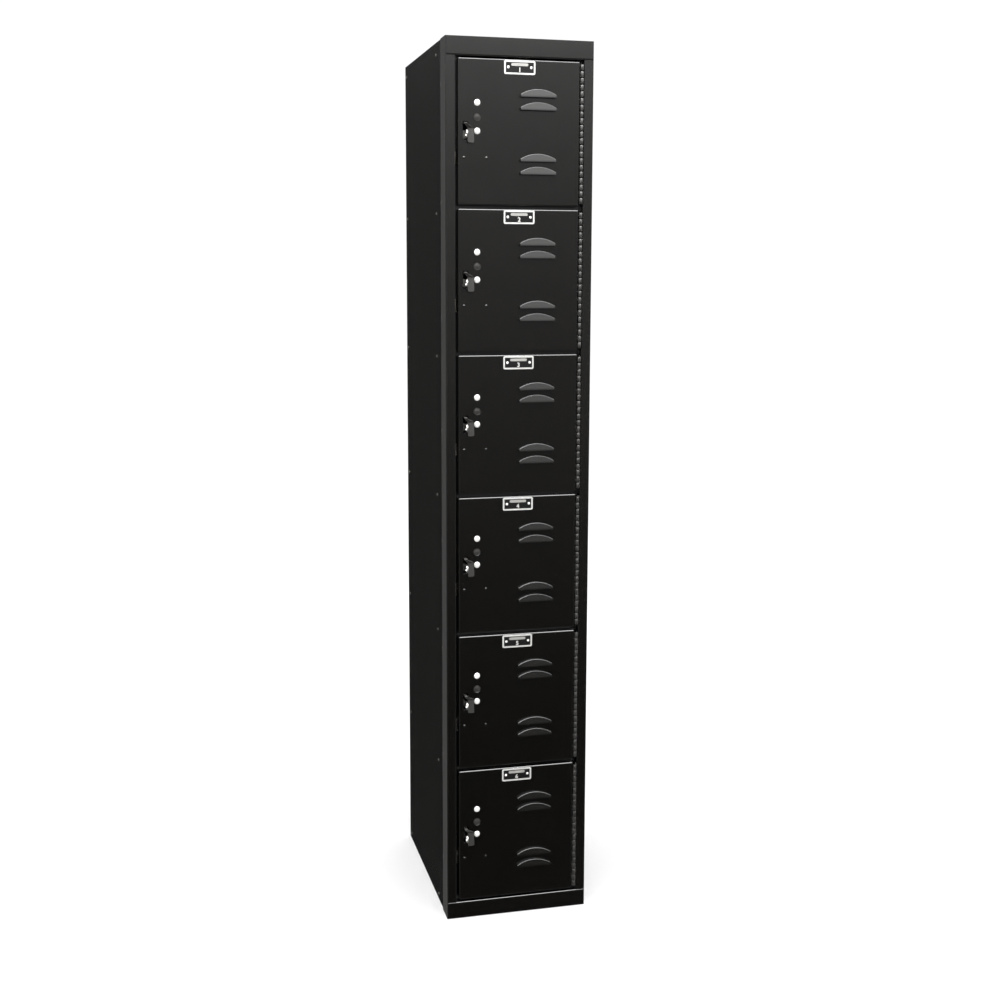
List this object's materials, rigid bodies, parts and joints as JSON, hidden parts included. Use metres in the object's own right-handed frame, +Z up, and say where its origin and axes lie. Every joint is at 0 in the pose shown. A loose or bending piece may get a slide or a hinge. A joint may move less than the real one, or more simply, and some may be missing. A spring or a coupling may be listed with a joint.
{
  "type": "locker cabinet",
  "caption": "Tall single-column steel box locker in black enamel: stacked louvred doors on continuous hinges, padlock staples, lift pulls and silver-edged number plates.",
  "frame": {"origin": "on the floor, under the middle of the whole cabinet with the staples counted in its depth", "axes": "+X is to the right seen from the doors, +Y to the back, +Z up; the doors face -Y"},
  "size_m": [0.3072, 0.4732, 1.8288],
  "materials": {
    "cabinet_enamel": "black powder coat, low sheen with a fine orange peel",
    "hinge_enamel": "black powder coat over hinge steel",
    "plate_alloy": "satin aluminium with a black printed field",
    "fastener_zinc": "bright zinc plating, slightly grained",
    "spring_steel": "bare spring steel, oiled"
  },
  "bodies": {
    "cabinet": {"left_upright": "cabinet_enamel", "right_upright": "cabinet_enamel", "header": "cabinet_enamel", "base_rail": "cabinet_enamel", "left_side_panel": "cabinet_enamel", "right_side_panel": "cabinet_enamel", "back_panel": "cabinet_enamel", "top_panel": "cabinet_enamel", "bottom_panel": "cabinet_enamel", "frame_hinge_leaves": "hinge_enamel", "hinge_pins": "hinge_enamel", "padlock_staples": "fastener_zinc", "catch_springs": "spring_steel", "frame_rivets": "fastener_zinc", "cross_rail_1": "cabinet_enamel", "cross_rail_2": "cabinet_enamel", "cross_rail_3": "cabinet_enamel", "cross_rail_4": "cabinet_enamel", "cross_rail_5": "cabinet_enamel", "shelf_1": "cabinet_enamel", "shelf_2": "cabinet_enamel", "shelf_3": "cabinet_enamel", "shelf_4": "cabinet_enamel", "shelf_5": "cabinet_enamel"},
    "door_body_1": {"door_1": "cabinet_enamel", "door_hinge_leaf_1": "hinge_enamel", "door_pull_1": "cabinet_enamel", "number_plate_1": "plate_alloy", "lock_cover_1": "cabinet_enamel", "door_fasteners_1": "fastener_zinc"},
    "door_body_2": {"door_2": "cabinet_enamel", "door_hinge_leaf_2": "hinge_enamel", "door_pull_2": "cabinet_enamel", "number_plate_2": "plate_alloy", "lock_cover_2": "cabinet_enamel", "door_fasteners_2": "fastener_zinc"},
    "door_body_3": {"door_3": "cabinet_enamel", "door_hinge_leaf_3": "hinge_enamel", "door_pull_3": "cabinet_enamel", "number_plate_3": "plate_alloy", "lock_cover_3": "cabinet_enamel", "door_fasteners_3": "fastener_zinc"},
    "door_body_4": {"door_4": "cabinet_enamel", "door_hinge_leaf_4": "hinge_enamel", "door_pull_4": "cabinet_enamel", "number_plate_4": "plate_alloy", "lock_cover_4": "cabinet_enamel", "door_fasteners_4": "fastener_zinc"},
    "door_body_5": {"door_5": "cabinet_enamel", "door_hinge_leaf_5": "hinge_enamel", "door_pull_5": "cabinet_enamel", "number_plate_5": "plate_alloy", "lock_cover_5": "cabinet_enamel", "door_fasteners_5": "fastener_zinc"},
    "door_body_6": {"door_6": "cabinet_enamel", "door_hinge_leaf_6": "hinge_enamel", "door_pull_6": "cabinet_enamel", "number_plate_6": "plate_alloy", "lock_cover_6": "cabinet_enamel", "door_fasteners_6": "fastener_zinc"}
  },
  "joints": [
    {"name": "door_hinge_1", "type": "hinge", "parent": "cabinet", "child": "door_body_1", "pos_m": [0.1282, -0.2196, 1.64532], "axis": [0, 0, 1], "range_deg": [0, 110]},
    {"name": "door_hinge_2", "type": "hinge", "parent": "cabinet", "child": "door_body_2", "pos_m": [0.1282, -0.2196, 1.35305], "axis": [0, 0, 1], "range_deg": [0, 110]},
    {"name": "door_hinge_3", "type": "hinge", "parent": "cabinet", "child": "door_body_3", "pos_m": [0.1282, -0.2196, 1.06078], "axis": [0, 0, 1], "range_deg": [0, 110]},
    {"name": "door_hinge_4", "type": "hinge", "parent": "cabinet", "child": "door_body_4", "pos_m": [0.1282, -0.2196, 0.76852], "axis": [0, 0, 1], "range_deg": [0, 110]},
    {"name": "door_hinge_5", "type": "hinge", "parent": "cabinet", "child": "door_body_5", "pos_m": [0.1282, -0.2196, 0.47625], "axis": [0, 0, 1], "range_deg": [0, 110]},
    {"name": "door_hinge_6", "type": "hinge", "parent": "cabinet", "child": "door_body_6", "pos_m": [0.1282, -0.2196, 0.18398], "axis": [0, 0, 1], "range_deg": [0, 110]}
  ]
}
